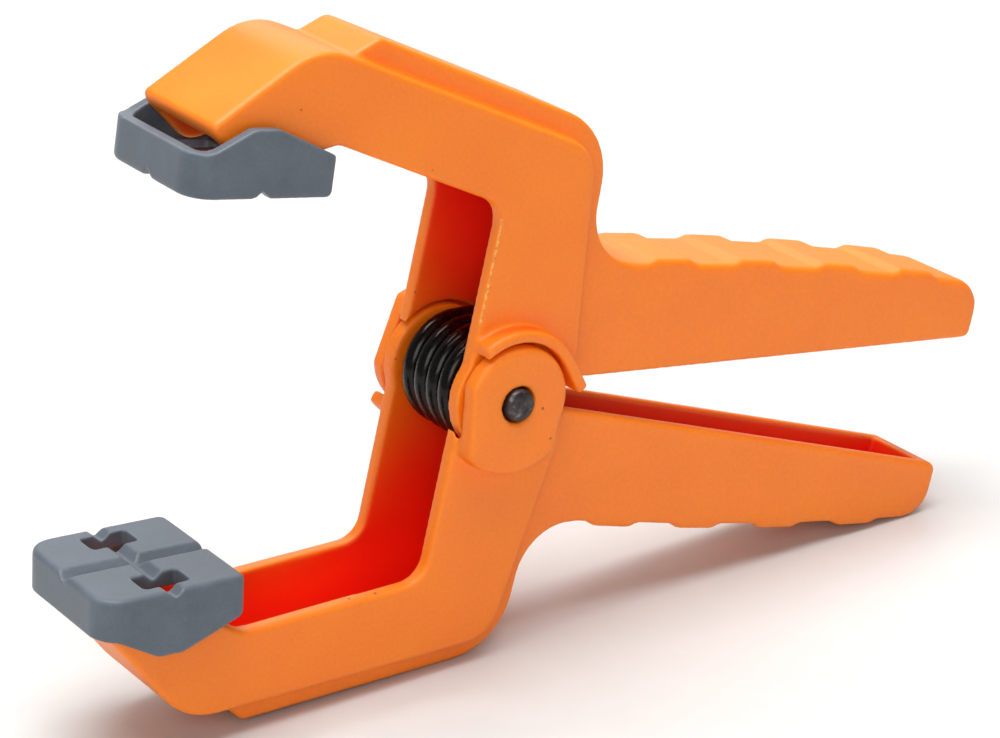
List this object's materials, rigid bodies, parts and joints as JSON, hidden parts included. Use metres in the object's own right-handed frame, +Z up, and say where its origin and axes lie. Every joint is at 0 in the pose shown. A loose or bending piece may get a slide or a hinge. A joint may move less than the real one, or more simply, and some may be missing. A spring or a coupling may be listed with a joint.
{
  "type": "spring clamp",
  "caption": "Small moulded spring clamp with hollow C-shaped levers on a steel pin, an exposed torsion spring and swivelling rubber jaw pads.",
  "frame": {"origin": "middle of the overall box at its base, which is the surface the clamp stands on", "axes": "+Z up from that surface, +X from the jaws towards the handles, +Y along the pivot pin"},
  "size_m": [0.074, 0.0128, 0.0451],
  "materials": {
    "moulded_nylon": "fine moulded texture, semi-matte",
    "blackened_steel": "blackened",
    "black_spring_steel": "black oxide with oil",
    "moulded_rubber": "matte moulded"
  },
  "bodies": {
    "lower_body": {"lower_lever": "moulded_nylon", "pivot_pin": "blackened_steel", "torsion_spring": "black_spring_steel"},
    "upper_body": {"upper_lever": "moulded_nylon"},
    "upper_pad_body": {"upper_pad": "moulded_rubber"},
    "lower_pad_body": {"lower_pad": "moulded_rubber"}
  },
  "joints": [
    {"name": "lever_pivot", "type": "hinge", "parent": "lower_body", "child": "upper_body", "pos_m": [-0.00594, 0, 0.01902], "axis": [0, 1, 0], "range_deg": [-56, 13], "deforming": ["torsion_spring"]},
    {"name": "upper_pad_swivel", "type": "hinge", "parent": "upper_body", "child": "upper_pad_body", "pos_m": [-0.02418, 0, 0.03977], "axis": [0, 1, 0], "range_deg": [-7.6, 32.6]},
    {"name": "lower_pad_swivel", "type": "hinge", "parent": "lower_body", "child": "lower_pad_body", "pos_m": [-0.03188, 0, 0.00954], "axis": [0, 1, 0], "range_deg": [-17.6, 4.1]}
  ],
  "couplings": [
    {"joint": "upper_pad_swivel", "follows": "lever_pivot", "ratio": -0.58},
    {"joint": "lower_pad_swivel", "follows": "lever_pivot", "ratio": 0.313}
  ]
}
